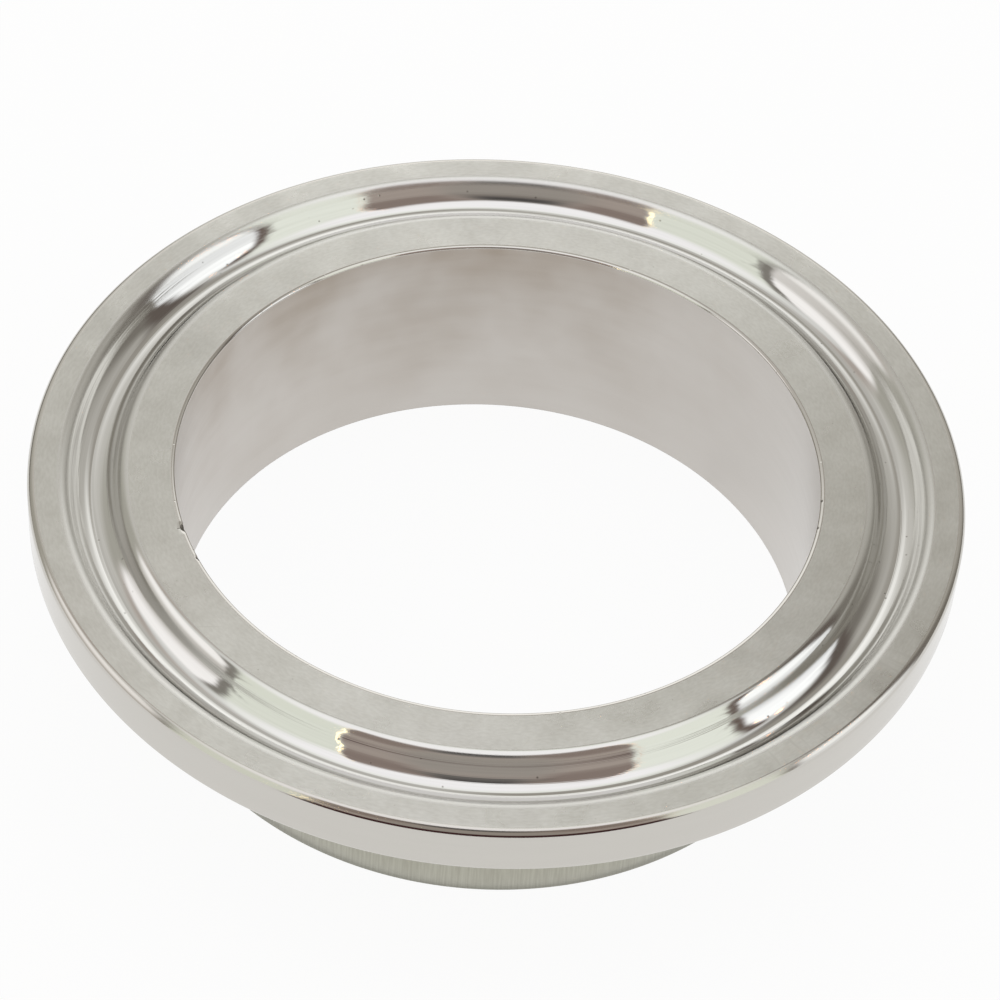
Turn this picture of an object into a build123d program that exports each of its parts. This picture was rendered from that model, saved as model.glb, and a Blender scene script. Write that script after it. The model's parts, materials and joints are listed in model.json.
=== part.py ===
from build123d import *

import os
from math import cos, radians, sin, tan

# Sanitary clamp ferrule for 1-1/2 inch tube, turned from one piece of stainless steel.
# It stands on its weld end, with the sealing face up. The origin is the centre of the weld end,
# and +Z runs up the bore. Sizes are in millimetres.

# The tube that the ferrule is welded to
bore_diameter = 34.8
tube_wall = 1.65

# The sealing face, from the bore outwards: flat land, gasket groove, flat land
inner_land = 2.85
groove_width = 3.0
groove_depth = 1.22
groove_wall_lean = 33
outer_land = 2.0

# The flange rim, and the sloping shoulder that the clamp pulls on
rim_height = 2.85
shoulder_angle = 20
overall_length = 12.7

# Rounded edges, and the corner under the shoulder
rim_face_radius = 0.4
rim_back_radius = 0.3
groove_lip_radius = 0.7
bore_lip_radius = 0.45
shoulder_root_radius = 1.6
weld_end_break = 0.15

# Radii and heights that follow from the sizes above
bore_radius = bore_diameter / 2
tube_radius = bore_radius + tube_wall
groove_inner_radius = bore_radius + inner_land
groove_middle_radius = groove_inner_radius + groove_width / 2
groove_outer_radius = groove_inner_radius + groove_width
flange_radius = groove_outer_radius + outer_land
rim_back_height = overall_length - rim_height
shoulder_drop = (flange_radius - tube_radius) * tan(radians(shoulder_angle))

# The groove's floor is one round, met by both leaning walls without a corner
lean = radians(groove_wall_lean)
floor_radius = (groove_width / 2 * cos(lean) - groove_depth * sin(lean)) / (1 - sin(lean))
floor_height = overall_length - groove_depth
wall_foot_height = floor_height + floor_radius * (1 - sin(lean))
wall_foot_reach = floor_radius * cos(lean)

# Corners of the half-section, as (distance from the axis, height)
bore_lip = (bore_radius, overall_length)
inner_groove_lip = (groove_inner_radius, overall_length)
inner_wall_foot = (groove_middle_radius - wall_foot_reach, wall_foot_height)
groove_floor = (groove_middle_radius, floor_height)
outer_wall_foot = (groove_middle_radius + wall_foot_reach, wall_foot_height)
outer_groove_lip = (groove_outer_radius, overall_length)
rim_face_edge = (flange_radius, overall_length)
rim_back_edge = (flange_radius, rim_back_height)
shoulder_root = (tube_radius, rim_back_height - shoulder_drop)
weld_outer_edge = (tube_radius, 0)
weld_inner_edge = (bore_radius, 0)

rounded_corners = (
    (rim_face_edge, rim_face_radius),
    (rim_back_edge, rim_back_radius),
    (inner_groove_lip, groove_lip_radius),
    (outer_groove_lip, groove_lip_radius),
    (bore_lip, bore_lip_radius),
    (shoulder_root, shoulder_root_radius),
)

# The whole ring is one half-section turned about the axis of the bore
with BuildPart() as ferrule:
    with BuildSketch(Plane.XZ) as section:
        with BuildLine():
            Polyline(inner_wall_foot, inner_groove_lip, bore_lip, weld_inner_edge, weld_outer_edge)
            Polyline(weld_outer_edge, shoulder_root, rim_back_edge, rim_face_edge)
            Polyline(rim_face_edge, outer_groove_lip, outer_wall_foot)
            ThreePointArc(outer_wall_foot, groove_floor, inner_wall_foot)
        make_face()
        for corner, radius in rounded_corners:
            fillet(section.vertices().sort_by_distance(corner)[0], radius)
        chamfer(section.vertices().sort_by_distance(weld_outer_edge)[0], weld_end_break)
    revolve(axis=Axis.Z)

ferrule.part.label = "ferrule"

os.makedirs("parts", exist_ok=True)
export_step(ferrule.part, "parts/ferrule.step")
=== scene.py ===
import json
from math import cos, pi, radians, sin, tan

import bpy
import numpy as np
from mathutils import Matrix, Vector


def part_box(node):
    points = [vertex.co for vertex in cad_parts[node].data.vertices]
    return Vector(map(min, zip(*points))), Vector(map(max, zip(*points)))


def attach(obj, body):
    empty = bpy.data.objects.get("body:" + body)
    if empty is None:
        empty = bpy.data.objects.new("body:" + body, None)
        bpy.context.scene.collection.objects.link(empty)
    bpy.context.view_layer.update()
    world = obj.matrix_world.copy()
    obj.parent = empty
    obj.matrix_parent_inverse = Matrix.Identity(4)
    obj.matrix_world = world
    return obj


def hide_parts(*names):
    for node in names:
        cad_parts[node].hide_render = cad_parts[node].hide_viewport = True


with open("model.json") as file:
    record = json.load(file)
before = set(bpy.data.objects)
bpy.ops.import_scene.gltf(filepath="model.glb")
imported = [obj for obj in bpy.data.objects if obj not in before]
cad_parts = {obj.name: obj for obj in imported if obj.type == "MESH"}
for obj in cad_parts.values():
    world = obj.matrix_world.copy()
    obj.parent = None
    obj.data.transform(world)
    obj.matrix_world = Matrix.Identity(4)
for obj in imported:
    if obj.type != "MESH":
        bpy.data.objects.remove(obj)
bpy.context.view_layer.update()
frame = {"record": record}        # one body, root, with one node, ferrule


# The ferrule's form. The real piece is one ring of 316L stainless steel, turned all over on a lathe:
# the bore, the sealing face with its gasket groove, the rim, the sloping clamp shoulder under it,
# and the short stub that the tube is welded to. It stands on the stub. Sizes here are in mm, and
# places on the half-section are (distance from the axis, height).
mount = {m["name"]: m for m in frame["record"]["mounts"]}
_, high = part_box("ferrule")
top = high.z * 1000
rim_radius = high.x * 1000
bore_radius = mount["bore"]["dims"]["r_mm"]
stub_radius = mount["weld_stub"]["dims"]["r_mm"]

inner_land = 2.85
groove_width = 3.0
groove_depth = 1.22
wall_lean = radians(33)
lip_radius = 0.7
bore_roll_radius = 0.5
bore_edge_radius = 0.12
bore_roll_turn = radians(18)
rim_face_radius = 0.4
rim_back_radius = 0.3
rim_height = 2.85
shoulder_slope = radians(20)
root_radius = 1.6
weld_break = 0.15


def line(start, end, rows):
    """Points spread evenly from start up to, but not including, end."""
    share = np.arange(rows)[:, None] / rows
    return np.array(start) * (1 - share) + np.array(end) * share


def arc(centre, radius, first, last, rows):
    """Points round an arc, from the first angle up to the last in radians, without its last point."""
    angle = first + (last - first) * np.arange(rows) / rows
    return np.array(centre) + radius * np.stack([np.cos(angle), np.sin(angle)], -1)


def on_arc(centre, radius, angle):
    """The point of an arc at an angle in radians."""
    return (centre[0] + radius * cos(angle), centre[1] + radius * sin(angle))


# The groove: a round floor, two leaning walls, and lips that round over onto the lands
floor_radius = (groove_width / 2 * cos(wall_lean) - groove_depth * sin(wall_lean)) / (1 - sin(wall_lean))
floor_centre = (bore_radius + inner_land + groove_width / 2, top - groove_depth + floor_radius)
lip_setback = lip_radius * tan((pi / 2 - wall_lean) / 2)
inner_lip = (bore_radius + inner_land - lip_setback, top - lip_radius)
outer_lip = (bore_radius + inner_land + groove_width + lip_setback, top - lip_radius)
inner_lip_end = on_arc(inner_lip, lip_radius, wall_lean)
outer_lip_start = on_arc(outer_lip, lip_radius, pi - wall_lean)
inner_wall_foot = on_arc(floor_centre, floor_radius, pi + wall_lean)
outer_wall_foot = on_arc(floor_centre, floor_radius, -wall_lean)

# The bore's lip: a flat roll down from the land, and a small round at its edge
bore_edge_reach = bore_edge_radius * (1 - sin(bore_roll_turn))
bore_roll = (bore_radius + bore_edge_reach + bore_roll_radius * sin(bore_roll_turn),
             top - bore_roll_radius)
bore_roll_foot = on_arc(bore_roll, bore_roll_radius, pi / 2 + bore_roll_turn)
bore_edge = on_arc(bore_roll_foot, bore_edge_radius, bore_roll_turn - pi / 2)

# The rim, the shoulder and the corner where it meets the stub
rim_face = (rim_radius - rim_face_radius, top - rim_face_radius)
rim_back = top - rim_height
root_height = rim_back - (rim_radius - stub_radius) * tan(shoulder_slope)
rim_under = (rim_radius - rim_back_radius,
             rim_back + rim_back_radius * tan((pi / 2 - shoulder_slope) / 2))
root = (stub_radius + root_radius, root_height - root_radius * tan((pi / 2 - shoulder_slope) / 2))
shoulder_top = on_arc(rim_under, rim_back_radius, shoulder_slope - pi / 2)
shoulder_foot = on_arc(root, root_radius, shoulder_slope + pi / 2)

# A row stands this far from each sharp corner, so that the corner's shading stays in a hairline
crease = 0.03

# What each stretch of the half-section is finished as, from the foot of the bore round to the weld end
stretches = [
    ("bore", line((bore_radius, 0), (bore_radius, crease), 1)),
    ("bore", line((bore_radius, crease), (bore_radius, bore_edge[1]), 9)),
    ("lip", arc(bore_edge, bore_edge_radius, pi, pi / 2 + bore_roll_turn, 6)),
    ("lip", arc(bore_roll, bore_roll_radius, pi / 2 + bore_roll_turn, pi / 2, 6)),
    ("face", line((bore_roll[0], top), (inner_lip[0], top), 12)),
    ("inner groove lip", arc(inner_lip, lip_radius, pi / 2, wall_lean, 10)),
    ("groove", line(inner_lip_end, inner_wall_foot, 3)),
    ("groove", arc(floor_centre, floor_radius, pi + wall_lean, 2 * pi - wall_lean, 28)),
    ("groove", line(outer_wall_foot, outer_lip_start, 3)),
    ("outer groove lip", arc(outer_lip, lip_radius, pi - wall_lean, pi / 2, 10)),
    ("face", line((outer_lip[0], top), (rim_face[0], top), 5)),
    ("rim", arc(rim_face, rim_face_radius, pi / 2, 0, 10)),
    ("rim", line((rim_radius, rim_face[1]), (rim_radius, rim_under[1]), 4)),
    ("rim", arc(rim_under, rim_back_radius, 0, shoulder_slope - pi / 2, 6)),
    ("shoulder", line(shoulder_top, shoulder_foot, 4)),
    ("shoulder", arc(root, root_radius, pi / 2 + shoulder_slope, pi, 8)),
    ("stub", line((stub_radius, root[1]), (stub_radius, weld_break + crease), 4)),
    ("stub", line((stub_radius, weld_break + crease), (stub_radius - weld_break, 0), 3)),
    ("stub", line((stub_radius - weld_break, 0), (stub_radius - weld_break - crease, 0), 1)),
    ("stub", line((stub_radius - weld_break - crease, 0), (bore_radius + crease, 0), 2)),
    ("stub", line((bore_radius + crease, 0), (bore_radius, 0), 1)),
]
section = np.concatenate([rows for _, rows in stretches])
row_finish = sum([[name] * len(rows) for name, rows in stretches], [])

# Knocks on the bore's lip, as (degrees round from +X, half-length, depth), in mm. Over two arcs, as
# (middle, half-width) in degrees, points stand closer together, so that each knock has its own edges.
knocks = [(200.8, 0.45, 0.10), (208.3, 0.20, 0.05), (350.4, 0.14, 0.03), (357.0, 0.13, 0.035)]
knocked_arcs = [(202, 5.5), (350, 7.0)]
extra_points = 2.6
dent_slant = 0.7
bruised_from = 0.3
turns = 724
steps = np.linspace(0, 360, 3601)
crowding = np.ones_like(steps)
for middle, reach in knocked_arcs:
    crowding += extra_points * np.exp(-((steps - middle) / reach) ** 4)
travelled = np.concatenate([[0], np.cumsum((crowding[1:] + crowding[:-1]) / 2)])
angles = np.radians(np.interp(np.arange(turns) / turns * travelled[-1], travelled, steps))

points = np.empty((len(section), turns, 3))
points[..., 0] = section[:, :1] * np.cos(angles)
points[..., 1] = section[:, :1] * np.sin(angles)
points[..., 2] = section[:, 1:]
from_lip = np.hypot(section[:, 0] - bore_radius, section[:, 1] - top)[:, None]
bruised = np.zeros((len(section), turns), bool)
for middle, half_length, depth in knocks:
    along = np.abs((np.degrees(angles) - middle + 180) % 360 - 180)[None, :] * radians(1) * bore_radius
    at_lip = np.clip(1.25 - from_lip / (2 * depth + 0.06), 0, 1)
    dent = depth * np.clip(1 - along / half_length, 0, 1) ** 1.2 * at_lip
    bruised |= dent > bruised_from * depth
    points[..., 0] += dent * dent_slant * np.cos(angles)
    points[..., 1] += dent * dent_slant * np.sin(angles)
    points[..., 2] -= dent * dent_slant

# Faces, each with its finish, and normals worked out across the rows so that reflections run true
finishes = ["bore", "lip", "face", "groove", "inner groove lip", "outer groove lip",
            "rim", "shoulder", "stub", "knock"]
row = np.arange(len(section))[:, None]
column = np.arange(turns)[None, :]
next_row = (row + 1) % len(section)
next_column = (column + 1) % turns
corners = np.stack([row * turns + column, next_row * turns + column,
                    next_row * turns + next_column, row * turns + next_column], -1)
mesh = bpy.data.meshes.new("ferrule_turned")
mesh.from_pydata((points.reshape(-1, 3) / 1000).tolist(), [], corners.reshape(-1, 4).tolist())
face_finish = np.repeat([finishes.index(name) for name in row_finish], turns).reshape(-1, turns)
face_finish[bruised] = finishes.index("knock")
mesh.polygons.foreach_set("material_index", face_finish.reshape(-1))
mesh.polygons.foreach_set("use_smooth", np.ones(len(mesh.polygons), bool))


def unit(vectors):
    """The vectors, each made 1 long."""
    return vectors / np.linalg.norm(vectors, axis=-1, keepdims=True)


along_section = unit(np.roll(points, -1, axis=0) - points) + unit(points - np.roll(points, 1, axis=0))
round_ring = np.roll(points, -1, axis=1) - np.roll(points, 1, axis=1)
normals = unit(np.cross(along_section, round_ring))
mesh.normals_split_custom_set_from_vertices(normals.reshape(-1, 3).tolist())

# The surface unrolled flat, in mm: across is the way round the ring, up is the way along the section.
# It is unrolled at the middle of the face, so marks are a little short at the bore and long at the rim
unrolled_radius = 21
lengths = np.linalg.norm(np.roll(section, -1, axis=0) - section, axis=1)
reached = np.concatenate([[0], np.cumsum(lengths)])
turned = np.concatenate([angles, [2 * pi]]) * unrolled_radius
unrolled = np.empty((len(section), turns, 4, 2))
unrolled[..., 0, 0] = unrolled[..., 1, 0] = turned[:-1]
unrolled[..., 2, 0] = unrolled[..., 3, 0] = turned[1:]
unrolled[..., 0, 1] = unrolled[..., 3, 1] = reached[:-1, None]
unrolled[..., 1, 1] = unrolled[..., 2, 1] = reached[1:, None]
layer = mesh.uv_layers.new(name="unrolled")
layer.data.foreach_set("uv", unrolled.reshape(-1))

ring = bpy.data.objects.new("turned_ring", mesh)
bpy.context.scene.collection.objects.link(ring)


# The steel's finishes. It is all one steel, and each surface has the marks of the tool that made it:
# fine rings on the lands, a form tool's polish in the groove, a satin bore and a plainer stub.
def colour(hex_code):
    """An sRGB hex colour as linear RGBA."""
    parts = [int(hex_code[i:i + 2], 16) / 255 for i in (1, 3, 5)]
    return (*[p / 12.92 if p <= 0.04045 else ((p + 0.055) / 1.055) ** 2.4 for p in parts], 1.0)


def node(tree, kind, settings=None, links=None):
    """Adds a node. Settings are its sockets' values or its own options. Links bring in another node's
    first output, or the very output that is given."""
    made = tree.nodes.new(kind)
    for name, value in (settings or {}).items():
        if isinstance(name, int) or name in made.inputs.keys():
            made.inputs[name].default_value = value
        else:
            setattr(made, name, value)
    for name, source in (links or {}).items():
        output = source.outputs[0] if isinstance(source, bpy.types.Node) else source
        tree.links.new(output, made.inputs[name])
    return made


def streaks(tree, along, across, turn=0.0, detail=2.0):
    """Noise on the unrolled surface, in marks about along by across mm, turned by some degrees."""
    flat = node(tree, "ShaderNodeUVMap", {"uv_map": "unrolled"})
    slanted = node(tree, "ShaderNodeMapping", {"Rotation": (0, 0, radians(turn))}, {"Vector": flat})
    scaled = node(tree, "ShaderNodeMapping", {"Scale": (1 / along, 1 / across, 1)}, {"Vector": slanted})
    return node(tree, "ShaderNodeTexNoise", {"noise_dimensions": "2D", "Scale": 1.0, "Detail": detail},
                {"Vector": scaled})


def clouds(tree, size, detail=2.0):
    """Noise in the solid, in patches about size mm across."""
    place = node(tree, "ShaderNodeTexCoord").outputs["Object"]
    return node(tree, "ShaderNodeTexNoise", {"Scale": 1000 / size, "Detail": detail}, {"Vector": place})


def spots(tree, apart, size):
    """Small spots up to size mm across, 1 in their middle, in about one place in every apart mm."""
    place = node(tree, "ShaderNodeTexCoord").outputs["Object"]
    cell = node(tree, "ShaderNodeTexVoronoi", {"Scale": 1000 / apart}, {"Vector": place})
    return node(tree, "ShaderNodeMapRange", {"From Min": size / 2 / apart, "From Max": 0},
                {"Value": cell})


def steel(name):
    """A new metal, as its tree and its shader."""
    material = bpy.data.materials.new(name)
    material.use_nodes = True
    ring.data.materials.append(material)
    shader = material.node_tree.nodes["Principled BSDF"]
    shader.inputs["Metallic"].default_value = 1.0
    return material.node_tree, shader


def stain(tree, shader, share, plain, marked):
    """Colours the steel: plain where the share is 0, marked where it is 1."""
    mixed = node(tree, "ShaderNodeMix", {"data_type": "RGBA", 6: colour(plain), 7: colour(marked)},
                 {0: share})
    tree.links.new(mixed.outputs[2], shader.inputs["Base Color"])


def dull(tree, shader, pattern, least, most):
    """Lets the steel's roughness go from least to most over the middle of a pattern."""
    roughness = node(tree, "ShaderNodeMapRange",
                     {"From Min": 0.3, "From Max": 0.7, "To Min": least, "To Max": most},
                     {"Value": pattern})
    tree.links.new(roughness.outputs[0], shader.inputs["Roughness"])


def score(tree, shader, height, depth):
    """Marks too fine for the mesh: depth mm up where height is 1, or down if depth is below 0."""
    relief = node(tree, "ShaderNodeBump", {"Strength": 1.0, "Distance": depth / 1000}, {"Height": height})
    tree.links.new(relief.outputs[0], shader.inputs["Normal"])


def shine_across(tree, shader, amount):
    """Spreads the shine at right angles to the turning marks."""
    shader.inputs["Anisotropic"].default_value = amount
    shader.inputs["Anisotropic Rotation"].default_value = 0.25
    way = node(tree, "ShaderNodeTangent", {"direction_type": "UV_MAP", "uv_map": "unrolled"})
    tree.links.new(way.outputs[0], shader.inputs["Tangent"])


# Honed bore: a soft satin. Its colour is tinted browner and darker in patches and streaks over its upper
# half at the back and the left, most towards the top
tree, shader = steel("stainless_316L_honed_bore")
place = node(tree, "ShaderNodeTexCoord").outputs["Object"]
towards = node(tree, "ShaderNodeVectorMath", {"operation": "DOT_PRODUCT", 1: (-0.5, 0.87, 0)}, {0: place})
rear = node(tree, "ShaderNodeMapRange", {"From Min": -0.004, "From Max": 0.016},
            {"Value": towards.outputs["Value"]})
height = node(tree, "ShaderNodeSeparateXYZ", {}, {0: place}).outputs["Z"]
upper = node(tree, "ShaderNodeMapRange", {"From Min": 0.001, "From Max": 0.0125, "To Min": 0.25},
             {"Value": height})
cloudy = node(tree, "ShaderNodeMapRange", {"From Min": 0.35, "From Max": 0.68, "To Min": 0.35},
              {"Value": clouds(tree, 7, 3)})
streaked = node(tree, "ShaderNodeMapRange", {"From Min": 0.35, "From Max": 0.65, "To Min": 0.82},
             {"Value": streaks(tree, 9, 1.2, detail=3.0)})
# The brown tint: strongest towards the top, at the back and the left, in patches and streaks
where = node(tree, "ShaderNodeMath", {"operation": "MULTIPLY"}, {0: upper, 1: rear})
patchy = node(tree, "ShaderNodeMath", {"operation": "MULTIPLY"}, {0: cloudy, 1: streaked})
upper_rear_tint = node(tree, "ShaderNodeMath", {"operation": "MULTIPLY"}, {0: where, 1: patchy})
stain(tree, shader, upper_rear_tint, "#cdc9c4", "#a3978a")
dull(tree, shader, streaks(tree, 6, 0.25), 0.28, 0.32)
score(tree, shader, streaks(tree, 3, 0.2), 0.00025)

# Broken edge of the bore: a narrow bright round between the bore and the face, with small dull pits
tree, shader = steel("stainless_316L_rounded_bore_lip")
shader.inputs["Base Color"].default_value = colour("#d2cfca")
pits = spots(tree, 0.5, 0.12)
pitted = node(tree, "ShaderNodeMapRange", {"To Min": 0.10, "To Max": 0.3}, {"Value": pits})
tree.links.new(pitted.outputs[0], shader.inputs["Roughness"])
score(tree, shader, pits, -0.01)

# Fine-turned lands. The tool leaves a ring every 0.08 mm, drawn here 0.16 mm apart so that they show.
# Handling has clouded them, and the outer land has short chatter marks across it at the near right
tree, shader = steel("stainless_316L_fine_turned_face")
place = node(tree, "ShaderNodeTexCoord").outputs["Object"]
rings = streaks(tree, 40, 0.16, detail=1.0)
hairs = node(tree, "ShaderNodeMapRange", {"From Min": 0.68, "From Max": 0.8},
             {"Value": streaks(tree, 4, 0.10, turn=52, detail=1.0)})
scratched = node(tree, "ShaderNodeMapRange", {"From Min": 0.5, "From Max": 0.7, "To Max": 0.35},
                 {"Value": clouds(tree, 8)})
hairs = node(tree, "ShaderNodeMath", {"operation": "MULTIPLY"}, {0: hairs, 1: scratched})
pits = spots(tree, 1.1, 0.14)
handled = node(tree, "ShaderNodeMapRange", {"From Min": 0.36, "From Max": 0.66, "To Max": 0.17},
               {"Value": clouds(tree, 1.6, 6)})
grain = node(tree, "ShaderNodeMapRange", {"From Min": 0.3, "From Max": 0.7, "To Max": 0.2},
             {"Value": streaks(tree, 0.35, 0.14, detail=3.0)})
aside = node(tree, "ShaderNodeVectorMath", {"operation": "DOT_PRODUCT", 1: (0.78, -0.62, 0)}, {0: place})
near_right = node(tree, "ShaderNodeMapRange", {"From Min": 0.0215, "From Max": 0.0235, "To Max": 0.3},
                  {"Value": aside.outputs["Value"]})
chatter = node(tree, "ShaderNodeMapRange", {"From Min": 0.45, "From Max": 0.7},
               {"Value": streaks(tree, 0.25, 2.5, detail=1.0)})
chatter = node(tree, "ShaderNodeMath", {"operation": "MULTIPLY"}, {0: near_right, 1: chatter})
cloudy = node(tree, "ShaderNodeMath", {"operation": "ADD"}, {0: handled, 1: grain})
marks = node(tree, "ShaderNodeMath", {"operation": "MAXIMUM"}, {0: pits, 1: hairs})
marks = node(tree, "ShaderNodeMath", {"operation": "MAXIMUM"}, {0: marks, 1: cloudy})
marks = node(tree, "ShaderNodeMath", {"operation": "MAXIMUM"}, {0: marks, 1: chatter})
stain(tree, shader, marks, "#d6d5d0", "#aaa79e")
dull(tree, shader, clouds(tree, 3, 4), 0.25, 0.38)
scored = node(tree, "ShaderNodeMath", {"operation": "SUBTRACT"}, {0: rings, 1: pits})
score(tree, shader, scored, 0.0014)
shine_across(tree, shader, 0.8)

# Form-turned groove: a mirror round the ring, softer across it, where the form tool's fine rings
# spread the shine. A few small pits
tree, shader = steel("stainless_316L_form_turned_groove")
rings = streaks(tree, 40, 0.05, detail=1.0)
pits = spots(tree, 0.9, 0.15)
streaky = node(tree, "ShaderNodeMapRange", {"From Min": 0.4, "From Max": 0.75, "To Max": 0.06},
               {"Value": streaks(tree, 7, 0.13, detail=3.0)})
marks = node(tree, "ShaderNodeMath", {"operation": "MAXIMUM"}, {0: pits, 1: streaky})
stain(tree, shader, marks, "#d8d7d4", "#77736c")
dull(tree, shader, streaks(tree, 12, 0.2), 0.03, 0.045)
scored = node(tree, "ShaderNodeMath", {"operation": "SUBTRACT"}, {0: rings, 1: pits})
score(tree, shader, scored, 0.0024)
shine_across(tree, shader, 0.95)

# Deburred lips of the groove, softer than the groove. The near part of the inner one is the brightest,
# and it goes over to the far part's roughness across the middle of the ring
deburred = [("stainless_316L_deburred_inner_lip", 0.09, 0.26),
            ("stainless_316L_deburred_outer_lip", 0.26, 0.2)]
for name, near, far in deburred:
    tree, shader = steel(name)
    shader.inputs["Base Color"].default_value = colour("#d6d5d1")
    place = node(tree, "ShaderNodeTexCoord").outputs["Object"]
    away = node(tree, "ShaderNodeSeparateXYZ", {}, {0: place}).outputs["Y"]
    roughness = node(tree, "ShaderNodeMapRange",
                     {"From Min": -0.012, "From Max": 0.006, "To Min": near, "To Max": far},
                     {"Value": away})
    tree.links.new(roughness.outputs[0], shader.inputs["Roughness"])
    score(tree, shader, streaks(tree, 40, 0.05, detail=1.0), 0.0008)
    shine_across(tree, shader, 0.95)

# Polished rim: bright and smooth, with a little waviness from the polishing wheel
tree, shader = steel("stainless_316L_polished_rim")
shader.inputs["Base Color"].default_value = colour("#cac7c1")
dull(tree, shader, streaks(tree, 8, 0.3), 0.10, 0.16)
score(tree, shader, streaks(tree, 25, 0.2), 0.0008)

# Turned shoulder, hidden under the rim, a little duller
tree, shader = steel("stainless_316L_turned_shoulder")
shader.inputs["Base Color"].default_value = colour("#cfccc5")
dull(tree, shader, streaks(tree, 12, 0.2), 0.2, 0.3)
score(tree, shader, streaks(tree, 40, 0.18), 0.0012)
shine_across(tree, shader, 0.5)

# Linished stub, greyer, with short fine marks that run up and down it
tree, shader = steel("stainless_316L_linished_stub")
grain = streaks(tree, 0.12, 2.5)
lined = node(tree, "ShaderNodeMapRange", {"From Min": 0.3, "From Max": 0.7}, {"Value": grain})
stain(tree, shader, lined, "#b4b3a6", "#a9a79a")
dull(tree, shader, grain, 0.28, 0.36)
score(tree, shader, grain, 0.0008)

# Bruised steel inside the knocks on the bore's lip, dull, and painted dark in small clouds
tree, shader = steel("stainless_316L_bruised_edge")
dark_clouds = node(tree, "ShaderNodeMapRange", {"From Min": 0.3, "From Max": 0.7}, {"Value": clouds(tree, 0.3)})
stain(tree, shader, dark_clouds, "#8d8983", "#4f4b46")
shader.inputs["Roughness"].default_value = 0.45

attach(ring, "root")
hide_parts("ferrule")


# The floor: white paper. The camera and the steel see it nearly plain white, and it takes a faint
# shadow of the ring. It lies a hair below the weld end, so that the two faces don't share a plane.
paper_reach = 3.0
paper_height = -0.00002
paper_corners = [(x * paper_reach, y * paper_reach, paper_height)
                 for x, y in ((-1, -1), (1, -1), (1, 1), (-1, 1))]
floor_mesh = bpy.data.meshes.new("paper_sheet")
floor_mesh.from_pydata(paper_corners, [], [(0, 1, 2, 3)])
floor = bpy.data.objects.new("floor", floor_mesh)
bpy.context.scene.collection.objects.link(floor)
paper = bpy.data.materials.new("white_paper")
paper.use_nodes = True
tree = paper.node_tree
tree.nodes.clear()
path = node(tree, "ShaderNodeLightPath")
seen = node(tree, "ShaderNodeMath", {"operation": "MAXIMUM"},
            {0: path.outputs["Is Camera Ray"], 1: path.outputs["Is Glossy Ray"]})
seen = node(tree, "ShaderNodeMath", {"operation": "MAXIMUM"},
            {0: seen, 1: path.outputs["Is Transmission Ray"]})
whitened = node(tree, "ShaderNodeMapRange", {"To Max": 0.94}, {"Value": seen})
lit = node(tree, "ShaderNodeBsdfDiffuse", {"Color": colour("#fafafa")})
plain = node(tree, "ShaderNodeEmission", {"Color": (1, 1, 1, 1), "Strength": 1.0})
both = node(tree, "ShaderNodeMixShader", {}, {0: whitened, 1: lit, 2: plain})
node(tree, "ShaderNodeOutputMaterial", {}, {"Surface": both})
floor.data.materials.append(paper)


# The light tent: a white fabric dome round the ring, lit from outside. Its panels, the seams between
# them, the open front and the thin lamps at its edge are what the steel reflects. The camera sees
# straight through it to the white behind.
# AZ is in degrees from the front, to the right, and side is the same to either side. EL is the height
# over the horizon, in degrees.
tent_radius = 0.344
tent_step = 0.5
AZ, EL = np.meshgrid(np.arange(-180, 180, tent_step), np.arange(-3, 90.1, tent_step))
side = np.abs(AZ)


def ramp(x, first, last):
    """0 up to first, 1 from last, smooth between."""
    s = np.clip((x - first) / (last - first), 0, 1)
    return s * s * (3 - 2 * s)


light = np.empty(AZ.shape + (3,))
light[:] = np.array(colour("#fdfcff")[:3]) * 1.28


def paint(mask, hex_code, strength=1.0):
    """Lays a colour of light over the fabric where the mask is 1."""
    c = np.array(colour(hex_code)[:3]) * strength
    light[:] = light * (1 - mask[..., None]) + c * mask[..., None]


def seam_mask(under, seam, half, soft):
    """1 within half a seam's width of it, fading over soft degrees."""
    slope = np.gradient(seam, axis=1) / tent_step
    return 1 - ramp(np.abs(under) / np.sqrt(1 + slope ** 2), half - soft / 2, half + soft / 2)


# Two seams arch over each side: their height at each place round the tent
front_seam = np.interp(side, [63.5, 65, 67, 70.5, 74.5, 82, 93, 106, 125, 150, 180],
                       [-20, 5, 20, 31, 40, 49, 55, 59, 61, 61, 58])
right_seam = np.interp(side, [97, 98.5, 101, 106, 113, 122, 135, 150, 180],
                       [-20, 8, 22, 34, 43, 50, 56, 58, 54])
left_seam = np.interp(side, [98, 101, 106, 112, 120, 130, 145, 160, 180],
                      [-20, 8, 20, 31, 42, 50, 55, 56, 54])
back_seam = np.where(AZ > 0, right_seam, left_seam)
under_front = EL - front_seam
under_back = EL - back_seam
on_right = ramp(AZ, -1, 1)
on_left = 1 - on_right

# The front panels, and the brighter side panels, the left one with a dimmer foot
paint(1 - ramp(EL, 54, 74), "#fbfff4", 1.02)
paint((1 - ramp(EL, 54, 74)) * on_right, "#fbfff6", 1.12)
paint(ramp(under_front, 2, -2) * on_right, "#fbfdff", 1.15)
paint(ramp(under_front, 2, -2) * on_right * ramp(EL, 14, 34), "#fbfdff", 1.5)
paint(ramp(under_front, 2, -2) * on_left, "#fffdfd", 1.3)
paint(ramp(under_front, 2, -2) * on_left * (1 - ramp(EL, 6, 36)), "#dedad5")
paint(ramp(side, 104, 122) * ramp(under_front, 4, 0) * ramp(EL, 40, 52), "#f4f4f2")

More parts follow.
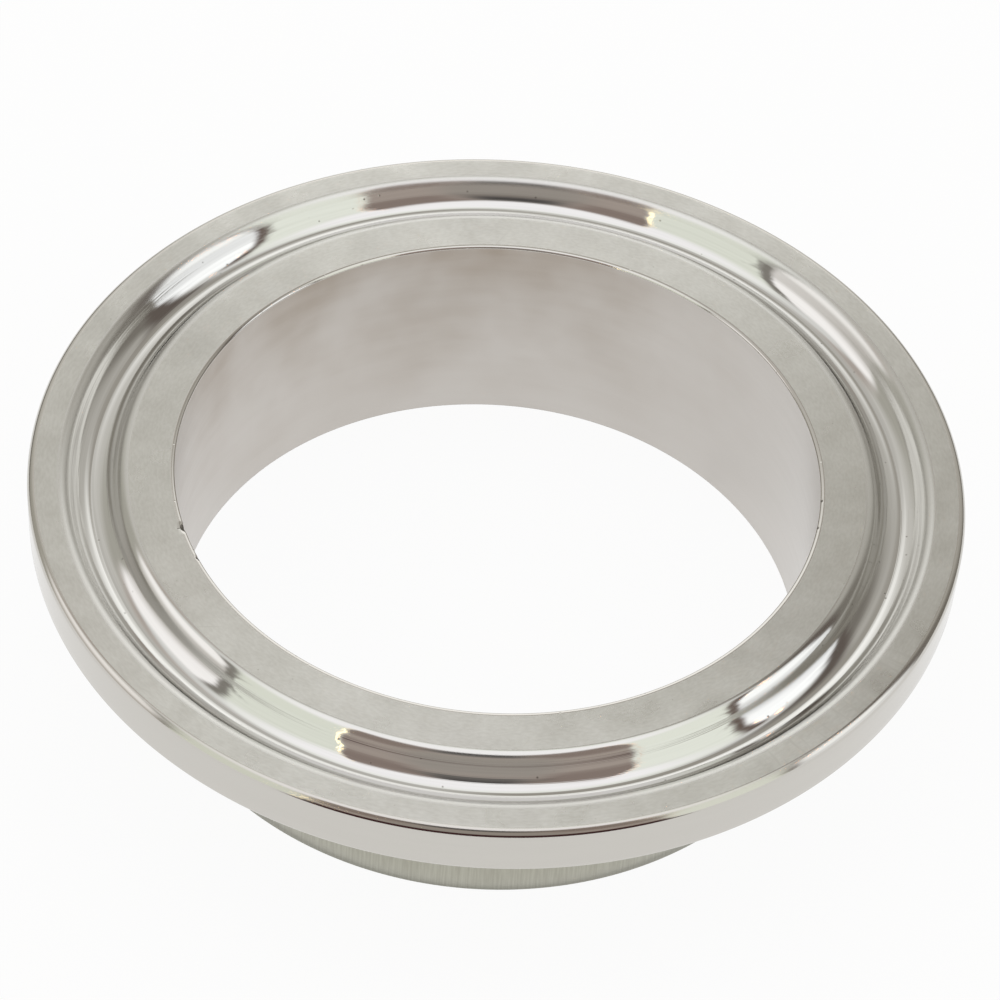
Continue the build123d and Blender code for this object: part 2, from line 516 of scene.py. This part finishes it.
# The walls behind: dark beside the right panel and at the foot, and bright in the middle of the back,
# under a dimmer band
lower_back = ramp(side, 122, 150) * ramp(EL, 0, 20) * (1 - ramp(EL, 50, 62))
paint(ramp(under_back, 3, -7) * on_left, "#bdbbb2")
paint(ramp(under_back, 3, -4) * on_right, "#b6b3ac")
paint(ramp(under_back, 4, -8) * on_right * (1 - ramp(AZ, 112, 132)) * 0.9, "#827d76")
paint(lower_back * (1 - 0.5 * on_right), "#dedcd7")
paint(ramp(side, 112, 126) * (1 - ramp(side, 150, 166)) * (1 - ramp(EL, 6, 18)), "#85827b")
paint(ramp(side, 150, 174) * ramp(EL, 0, 15) * (1 - ramp(EL, 38, 48)), "#fbfbf9", 1.36)
paint(ramp(side, 135, 170) * ramp(EL, 36, 48) * (1 - ramp(EL, 55, 64)) * on_right, "#aeaaa2")
paint(ramp(side, 145, 170) * ramp(EL, 43, 50) * (1 - ramp(EL, 55, 64)) * on_left, "#cfcdc8")

# The seams
right_back_seam = seam_mask(under_back + 2, back_seam, 4, 5) * on_right
left_back_seam = seam_mask(under_back, back_seam, 3, 5) * on_left
paint(right_back_seam * (1 - ramp(AZ, 140, 172)) * ramp(AZ, 98, 104), "#756c66", 0.9)
paint(left_back_seam * ramp(side, 110, 130) * (1 - ramp(side, 145, 170)), "#c6bdb6")
paint(seam_mask(under_front, front_seam, 1.9, 2.4) * (1 - ramp(side, 100, 130)) * on_left,
      "#9f9b94", 0.85)
paint(seam_mask(under_front, front_seam, 1.6, 1.6) * (1 - ramp(side, 118, 135)) * on_right,
      "#85766f", 0.8)

# The open front, wider towards its top: dim inside, browner at its sides, darkest at the top of its
# middle and at its foot
edge_heights = [0, 30, 40, 50, 62, 70, 76]
left_edge = -np.interp(EL, edge_heights, [33.5, 34, 36.5, 40, 48, 59, 74])
right_edge = np.interp(EL, [0, 20, 30, 40, 50, 62, 70, 76], [38.5, 38.5, 40, 43, 47, 55, 66, 80])
opening = ramp(AZ, left_edge - 0.7, left_edge + 0.7) * (1 - ramp(AZ, right_edge - 0.7, right_edge + 0.7))
opening *= 1 - ramp(EL, 67, 79)
off_middle = ramp(np.abs(AZ - 1), 12, 26)
paint(opening, "#b9ada5")
paint(opening * (1 - off_middle) * (1 - ramp(EL, 30, 60)), "#ada69f")
paint(opening * off_middle * ramp(EL, 25, 45), "#9d8e87", 0.95)
paint(opening * (1 - ramp(side, 10, 22)) * ramp(EL, 44, 58), "#7d7976")
paint(opening * (1 - ramp(EL, 8, 15)), "#4a2f2f")

around = np.radians(AZ)
height = np.radians(EL)
dome = np.stack([np.cos(height) * np.sin(around), -np.cos(height) * np.cos(around), np.sin(height)], -1)
rows_up, rows_round = AZ.shape
row = np.arange(rows_up - 1)[:, None]
column = np.arange(rows_round)[None, :]
next_column = (column + 1) % rows_round
quads = np.stack([row * rows_round + column, row * rows_round + next_column,
                  (row + 1) * rows_round + next_column, (row + 1) * rows_round + column], -1)
tent_middle = np.array((0, 0, high.z))
tent_mesh = bpy.data.meshes.new("tent_dome")
tent_mesh.from_pydata((dome.reshape(-1, 3) * tent_radius + tent_middle).tolist(), [],
                      quads.reshape(-1, 4).tolist())
levels = np.concatenate([light, np.ones(AZ.shape + (1,))], -1)
glow = tent_mesh.color_attributes.new("glow", "FLOAT_COLOR", "POINT")
glow.data.foreach_set("color", levels.reshape(-1).astype(np.float32))
tent = bpy.data.objects.new("light_tent", tent_mesh)
cloth = bpy.data.materials.new("white_tent_fabric")
cloth.use_nodes = True
tree = cloth.node_tree
tree.nodes.clear()
painted = node(tree, "ShaderNodeAttribute", {"attribute_name": "glow"})
shine = node(tree, "ShaderNodeEmission", {}, {"Color": painted.outputs["Color"]})
node(tree, "ShaderNodeOutputMaterial", {}, {"Surface": shine})
cloth.cycles.emission_sampling = "NONE"
tent.data.materials.append(cloth)


# The lamps: thin bare tubes on the inside of the tent. A warm one follows the left edge of the open
# front, a weaker one the right edge, and two short ones give the orange sparks beside the right panel.
lamp_radius = tent_radius - 0.004


def strip(name, az, el, width, hex_code, strength):
    """A thin lamp along a path of directions in degrees, width mm wide."""
    az, el = np.radians(az), np.radians(el)
    spot = np.stack([np.cos(el) * np.sin(az), -np.cos(el) * np.cos(az), np.sin(el)], -1)
    path = np.gradient(spot, axis=0)
    aside = unit(np.cross(path, spot)) * width / 2000
    spot = spot * lamp_radius + tent_middle
    count = len(az)
    made = bpy.data.meshes.new(name)
    made.from_pydata(np.concatenate([spot - aside, spot + aside]).tolist(), [],
                     [(i, i + 1, i + 1 + count, i + count) for i in range(count - 1)])
    glow = made.color_attributes.new("glow", "FLOAT_COLOR", "POINT")
    level = np.ones((2, count, 4))
    level[..., :3] = np.array(colour(hex_code)[:3]) * np.broadcast_to(strength, (count,))[:, None]
    glow.data.foreach_set("color", level.reshape(-1).astype(np.float32))
    made.materials.append(cloth)
    return bpy.data.objects.new(name, made)


rise = np.linspace(1, 76, 40)
left_path = -np.interp(rise, edge_heights, [34.3, 34.8, 37.3, 41, 49, 60, 75])
right_path = np.interp(rise, edge_heights, [39.5, 41, 44, 48, 56, 67, 81])
edge_lamp = strip("edge_lamp", left_path, rise, 0.8, "#ffe2a6", 10 * (1 - ramp(rise, 40, 66)) + 1.5)
right_lamp = strip("right_lamp", right_path, rise, 1.0, "#ffc9a8", 1.0 + 1.0 * ramp(rise, 35, 50))
spark_high = strip("spark_high", np.array((118, 118)), np.array((56.5, 57.5)), 3.0, "#ffab68", 25)
spark_low = strip("spark_low", np.array((92, 92)), np.array((50.5, 51.5)), 3.0, "#ffab68", 25)


# The dark body that stands in the open front, close to the ring: a card that glows dimly, a painted
# reflection seen only in the steel. It is out of focus in its reflection, so it fades out at its sides
# and downwards and is crisp at its top.
body_left, body_right, body_place = -0.019, 0.021, -0.051
body_foot = 0.035 + high.z
body_top = 0.140 + high.z
body_mesh = bpy.data.meshes.new("dark_body")
body_mesh.from_pydata([(body_left, body_place, body_foot), (body_right, body_place, body_foot),
                       (body_right, body_place, body_top), (body_left, body_place, body_top)],
                      [], [(0, 1, 2, 3)])
body_mesh.uv_layers.new(name="centred").data.foreach_set("uv", [-1, -1, 1, -1, 1, 1, -1, 1])
body = bpy.data.objects.new("dark_body", body_mesh)
dim_card_glow = bpy.data.materials.new("dim_glowing_card")
dim_card_glow.use_nodes = True
tree = dim_card_glow.node_tree
tree.nodes.clear()
centred = node(tree, "ShaderNodeUVMap", {"uv_map": "centred"})
place = node(tree, "ShaderNodeSeparateXYZ", {}, {0: centred})
sideways = node(tree, "ShaderNodeMath", {"operation": "ABSOLUTE"}, {0: place.outputs["X"]})
in_sides = node(tree, "ShaderNodeMapRange", {"From Min": 0.35, "To Min": 0.9, "To Max": 0.0},
                {"Value": sideways})
over_foot = node(tree, "ShaderNodeMapRange", {"From Min": -1.0, "From Max": 0.3, "To Max": 0.9},
                 {"Value": place.outputs["Y"]})
under_top = node(tree, "ShaderNodeMapRange", {"From Min": 0.9, "To Min": 0.9, "To Max": 0.0},
                 {"Value": place.outputs["Y"]})
soft = node(tree, "ShaderNodeMath", {"operation": "MINIMUM"}, {0: in_sides, 1: over_foot})
soft = node(tree, "ShaderNodeMath", {"operation": "MINIMUM"}, {0: soft, 1: under_top})
# Painted reflection: the card's dim glow, which the steel shows as a dark shape in the open front
dim = node(tree, "ShaderNodeEmission", {"Color": colour("#4f4c4b"), "Strength": 1.0})
clear = node(tree, "ShaderNodeBsdfTransparent")
body_look = node(tree, "ShaderNodeMixShader", {}, {0: soft, 1: clear, 2: dim})
node(tree, "ShaderNodeOutputMaterial", {}, {"Surface": body_look})
dim_card_glow.cycles.emission_sampling = "NONE"
body.data.materials.append(dim_card_glow)


# A dark strip in front that glows dimly, a painted reflection seen only low down in the ring's front
# edge. It widens away from the ring.
front_strip_near, front_strip_far, front_strip_height = -0.056, -0.325, 0.001
front_strip_mesh = bpy.data.meshes.new("front_strip_edge")
front_strip_mesh.from_pydata([(-0.037, front_strip_near, front_strip_height), (0.046, front_strip_near, front_strip_height),
                        (0.26, front_strip_far, front_strip_height), (-0.22, front_strip_far, front_strip_height)],
                       [], [(0, 1, 2, 3)])
front_strip = bpy.data.objects.new("front_strip", front_strip_mesh)
front_strip_glow = bpy.data.materials.new("dim_front_strip")
front_strip_glow.use_nodes = True
tree = front_strip_glow.node_tree
tree.nodes.clear()
# Painted reflection: the strip's dim glow, which darkens the ring's front edge low down
dim = node(tree, "ShaderNodeEmission", {"Color": colour("#4a3232"), "Strength": 1.0})
node(tree, "ShaderNodeOutputMaterial", {}, {"Surface": dim})
front_strip_glow.cycles.emission_sampling = "NONE"
front_strip.data.materials.append(front_strip_glow)

# All of these are seen only in the steel, and only the tent lights the paper
for stand in (tent, body, front_strip, edge_lamp, right_lamp, spark_high, spark_low):
    bpy.context.scene.collection.objects.link(stand)
    stand.visible_camera = False
    stand.visible_shadow = False
    stand.visible_diffuse = stand is tent

# The white room behind, which the camera sees past the paper
world = bpy.data.worlds.new("studio")
bpy.context.scene.world = world
world.use_nodes = True
world.node_tree.nodes["Background"].inputs["Color"].default_value = (1, 1, 1, 1)
world.node_tree.nodes["Background"].inputs["Strength"].default_value = 1.0


# The camera: close to the ring, looking down into it, and rolled a few degrees.
eye_distance = 0.1963
eye_rise = radians(45.73)
eye = Vector((0, -eye_distance * cos(eye_rise), eye_distance * sin(eye_rise) + high.z))
aim = Vector((0.000202, -0.002563, high.z))
ahead = (aim - eye).normalized()
level = ahead.cross(Vector((0, 0, 1))).normalized()
upright = level.cross(ahead)
roll = radians(4.23)
across = cos(roll) * level + sin(roll) * upright
up = cos(roll) * upright - sin(roll) * level
lens = bpy.data.cameras.new("camera")
lens.sensor_width = 36
lens.lens = 131.14
lens.clip_start = 0.01
camera = bpy.data.objects.new("camera", lens)
bpy.context.scene.collection.objects.link(camera)
camera.matrix_world = Matrix.Translation(eye) @ Matrix((across, up, -ahead)).transposed().to_4x4()
bpy.context.scene.camera = camera
bpy.context.scene.view_settings.view_transform = "Standard"
